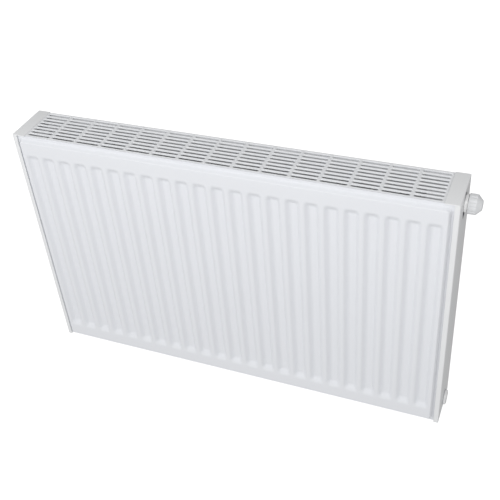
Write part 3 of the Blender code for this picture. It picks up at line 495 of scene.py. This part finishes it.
lathe("insert_nose", [(13.6, 6.6), (13.6, 14.4), (13.3, 14.7), (12.9, 14.9), (5.1, 14.9), (4.9, 14.7), (4.9, 12.4),
                      (1.5, 12.4), (1.3, 12.2), (1.3, 9.1), (-15, 9.1), (-16, 8.2), (-39.4, 8.2), (-39.4, 6.4),
                      (-6, 6.4), (-6, 2.2), (3.2, 2.2), (3.2, 6.6)],
      V, ZV, 1, NICKEL, "radiator", ["valve_insert_body"])


lathe("spacer", [(4.5, 12.75), (4.5, 14.5), (4.35, 14.85), (4.1, 15.0), (-0.2, 15.0), (-0.4, 14.8), (-0.4, 12.75)],
      V, ZV, 1, GLOSS_WHITE, "radiator", ["spacer_ring"])


def blank(name, side, node):
    profile = [(4.8, 3.0), (4.8, 12.2), (4.6, 12.8), (4.2, 13.5), (3.7, 13.8), (1.9, 14.2), (0.6, 14.2), (0.4, 14.0), (0.4, 12.9), (1.3, 12.9),
               (1.3, 9.1), (-12, 9.1), (-13, 8.2), (-13, 0.0)]
    obj = lathe(name, [(4.8, 0.0)] + profile, side * V, ZB, side, GLOSS_WHITE, "radiator", [node], 96, False)
    bm = bmesh.new()
    r = 12 / math.sqrt(3)
    ends = [[bm.verts.new((side * x, r * math.cos(math.pi * i / 3), ZB + r * math.sin(math.pi * i / 3))) for i in range(6)]
            for x in (V + 0.5, V + 10)]
    for i in range(6):
        j = (i + 1) % 6
        bm.faces.new([ends[0][i], ends[0][j], ends[1][j], ends[1][i]])
    bm.faces.new(ends[0])
    bm.faces.new(ends[1])
    bmesh.ops.recalc_face_normals(bm, faces=bm.faces[:])
    apply_boolean(obj, tool(bm))


blank("plug_right", 1, "blank_plug_right")
blank("plug_left", -1, "blank_plug_left")


# ------------------------------------------------------------------ tees and pipe connections
def bar(axis, radius, a, b, segments=64, chamfer=0.0):
    """Round bar from a to b along one axis, in millimetres, its ends chamfered."""
    a, b = Vector(a), Vector(b)
    u = Vector((0, 1, 0)) if axis != "Y" else Vector((1, 0, 0))
    along = (b - a).normalized()
    v = along.cross(u)
    bm = bmesh.new()
    stations = [(0.0, radius - chamfer), (chamfer, radius), ((b - a).length - chamfer, radius),
                ((b - a).length, radius - chamfer)] if chamfer else [(0.0, radius), ((b - a).length, radius)]
    loops = [[bm.verts.new(a + along * h + (u * math.cos(2 * math.pi * i / segments)
                                            + v * math.sin(2 * math.pi * i / segments)) * r)
              for i in range(segments)] for h, r in stations]
    for lo, hi in zip(loops, loops[1:]):
        for i in range(segments):
            k = (i + 1) % segments
            bm.faces.new([lo[i], lo[k], hi[k], hi[i]])
    bm.faces.new(loops[0])
    bm.faces.new(loops[-1])
    bmesh.ops.recalc_face_normals(bm, faces=bm.faces[:])
    return bm


def fitting(name, node, base, added, removed):
    obj = finish_mesh(name, base, INSIDE_PAINTED_SHADE, "radiator", [node], 35)
    for bm in added:
        apply_boolean(obj, tool(bm), "UNION")
    for bm in removed:
        apply_boolean(obj, tool(bm))
    return obj


TEE, HALF = 368.0, 31.8
for name, node, side, z in (("fitting_top_left", "tee_top_left", -1, ZV), ("fitting_bottom_left", "tee_bottom_left", -1, ZB)):
    fitting(name, node, bar("X", 15.0, (side * 352, 0, z), (side * 402, 0, z), chamfer=0.6),
            [bar("Y", 10.5, (side * TEE, -HALF, z), (side * TEE, HALF, z))],
            [bar("X", 9.4, (side * 357, 0, z), (side * 407, 0, z)),
             bar("Y", 7.5, (side * TEE, -HALF - 5, z), (side * TEE, HALF + 5, z))])
fitting("fitting_bottom_right", "tee_bottom_right", bar("X", 15.0, (352, 0, ZB), (402, 0, ZB), chamfer=0.6),
        [bar("Y", 10.5, (TEE, -HALF, ZB), (TEE, HALF, ZB)), bar("Z", 13.5, (TEE, 0, ZB), (TEE, 0, 3), chamfer=0.6)],
        [bar("X", 9.4, (357, 0, ZB), (407, 0, ZB)), bar("Y", 7.5, (TEE, -HALF - 5, ZB), (TEE, HALF + 5, ZB)),
         bar("Z", 9.4, (TEE, 0, ZB), (TEE, 0, -2))])
fitting("fitting_top_right", "tee_top_right", bar("X", 12.2, (341, 0, ZV), (402, 0, ZV), chamfer=0.6),
        [bar("Y", 10.5, (TEE, -HALF, ZV), (TEE, HALF, ZV))],
        [bar("X", 9.4, (359.9, 0, ZV), (407, 0, ZV)), bar("Y", 7.5, (TEE, -HALF - 5, ZV), (TEE, HALF + 5, ZV)),
         bar("X", 4.2, (348, 0, ZV), (361.9, 0, ZV)), bar("Z", 6.8, (350, 0, ZV), (350, 0, ZV - 20))])
fitting("supply_fitting", "supply_connector", bar("Z", 13.5, (318, 0, 3), (318, 0, 44), chamfer=0.6), [],
        [bar("Z", 9.4, (318, 0, -2), (318, 0, 24)), bar("Z", 6.8, (318, 0, 20), (318, 0, 49))])


# ------------------------------------------------------------------ fins
def fins(name, node, side):
    """Folded fin sheet with rounded folds."""
    corners = []
    for k in range(-11, 10):
        x = (k + 0.5) * PITCH
        corners += [(x - 7, 31.8), (x + 7, 31.8)]
        if k < 9:
            corners += [(x + 9.5, 9.2), (x + PITCH - 9.5, 9.2)]
    pts = [Vector(corners[0])]
    for before, here, after in zip(corners, corners[1:], corners[2:]):
        here = Vector(here)
        a, b = (Vector(before) - here).normalized(), (Vector(after) - here).normalized()
        radius = 1.6
        for i in range(4):
            t = i / 3
            p = here + a * radius * (1 - t) ** 2 + b * radius * t ** 2
            pts.append(p)
    pts.append(Vector(corners[-1]))
    bm = bmesh.new()
    low = [bm.verts.new((p.x, side * p.y, 50)) for p in pts]
    high = [bm.verts.new((p.x, side * p.y, 458)) for p in pts]
    for i in range(len(pts) - 1):
        quad = [low[i], low[i + 1], high[i + 1], high[i]]
        bm.faces.new(quad if side > 0 else quad[::-1])
    bm.normal_update()
    if bm.faces[:][0].normal.y * side < 0:
        bmesh.ops.reverse_faces(bm, faces=bm.faces[:])
    obj = finish_mesh(name, bm, FIN_PAINTED_SHADE, "radiator", [node], 40)
    solid = obj.modifiers.new("sheet", "SOLIDIFY")
    solid.thickness, solid.offset = 0.45 * MM, -1.0
    settle(obj, 40)


fins("fins_front", "front_convector", -1)
fins("fins_rear", "rear_convector", 1)

# ------------------------------------------------------------------ carried-over nodes
KEPT = {
    INSIDE_PAINTED_SHADE: ["front_panel_inner_sheet", "rear_panel_inner_sheet", "connector_bridge", "riser_tube"],
    ENAMEL: ["wall_lug_top_left", "wall_lug_top_right", "wall_lug_bottom_left", "wall_lug_bottom_right"],
    BRASS: ["valve_gland", "valve_cone"],
    STEEL: ["valve_pin", "valve_spring", "valve_spring_seat", "bleed_screw"],
    NICKEL: ["vent_plug"],
    WHITE_PLASTIC: ["vent_nozzle"],
    GREY_PLASTIC: ["presetting_dial"],
    RUBBER: ["valve_insert_o_ring", "valve_gland_o_ring", "valve_cone_seal", "vent_plug_o_ring", "bleed_screw_seal",
             "blank_plug_left_o_ring", "blank_plug_right_o_ring"],
}
for mat, names in KEPT.items():
    for n in names:
        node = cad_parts[n]
        node.data.materials.clear()
        node.data.materials.append(mat)

# ------------------------------------------------------------------ floor, light, camera
bm = bmesh.new()
bmesh.ops.create_grid(bm, x_segments=1, y_segments=1, size=40.0)
floor_mesh = bpy.data.meshes.new("floor")
bm.to_mesh(floor_mesh)
bm.free()
floor = bpy.data.objects.new("floor", floor_mesh)
bpy.context.scene.collection.objects.link(floor)
floor.location.z = CAD_BOX[0][2] - 0.0005
floor_mat, fn, fl, fs = node_material("floor_white")
fs.inputs["Base Color"].default_value = (0.93, 0.93, 0.93, 1)
fs.inputs["Roughness"].default_value = 0.9
fs.inputs["Specular IOR Level"].default_value = 0.1
fs.inputs["Emission Color"].default_value = (1, 1, 1, 1)
fs.inputs["Emission Strength"].default_value = 0.62
floor_mesh.materials.append(floor_mat)
floor.visible_diffuse = False
floor.visible_glossy = False

world = bpy.data.worlds.new("studio")
bpy.context.scene.world = world
world.use_nodes = True
wn, wl = world.node_tree.nodes, world.node_tree.links
background = wn["Background"]
coords = wn.new("ShaderNodeTexCoord")
facing = wn.new("ShaderNodeVectorMath")
facing.operation = "DOT_PRODUCT"
facing.inputs[1].default_value = Vector((-0.04, -0.135, -0.01)).normalized()
wl.new(coords.outputs["Generated"], facing.inputs[0])
level = wn.new("ShaderNodeMath")
level.operation = "MULTIPLY_ADD"
level.inputs[1].default_value = 0.21
level.inputs[2].default_value = 0.56
wl.new(facing.outputs["Value"], level.inputs[0])
wl.new(level.outputs["Value"], background.inputs["Strength"])
background.inputs["Color"].default_value = (1.0, 1.0, 1.0, 1)


def area_light(name, location, target, size, power, colour=(1, 1, 1)):
    data = bpy.data.lights.new(name, "AREA")
    data.shape, data.size, data.size_y, data.energy, data.color = "RECTANGLE", size[0], size[1], power, colour
    obj = bpy.data.objects.new(name, data)
    bpy.context.scene.collection.objects.link(obj)
    obj.location = location
    obj.rotation_euler = (Vector(target) - Vector(location)).to_track_quat("-Z", "Y").to_euler()
    return obj


area_light("key", (0.0, -0.95, 1.20), (0, 0, 0.35), (2.6, 0.5), 8.3)

az, el, roll = math.radians(24.727), math.radians(38.737), math.radians(-5.177)
back = Vector((math.sin(az) * math.cos(el), -math.cos(az) * math.cos(el), math.sin(el)))
right = Vector((math.cos(az), math.sin(az), 0.0))
up = back.cross(right)
right2 = math.cos(roll) * right + math.sin(roll) * up
up2 = -math.sin(roll) * right + math.cos(roll) * up
camera_data = bpy.data.cameras.new("camera")
camera_data.sensor_width = 36.0
camera_data.lens = 841.192 / 500 * 36.0
camera_data.clip_start, camera_data.clip_end = 0.05, 50
camera = bpy.data.objects.new("camera", camera_data)
bpy.context.scene.collection.objects.link(camera)
matrix = Matrix((right2, up2, back)).transposed().to_4x4()
matrix.translation = at(530.26, -1089.89, 1257.593)
camera.matrix_world = matrix
bpy.context.scene.camera = camera
bpy.context.scene.view_settings.view_transform = "Standard"
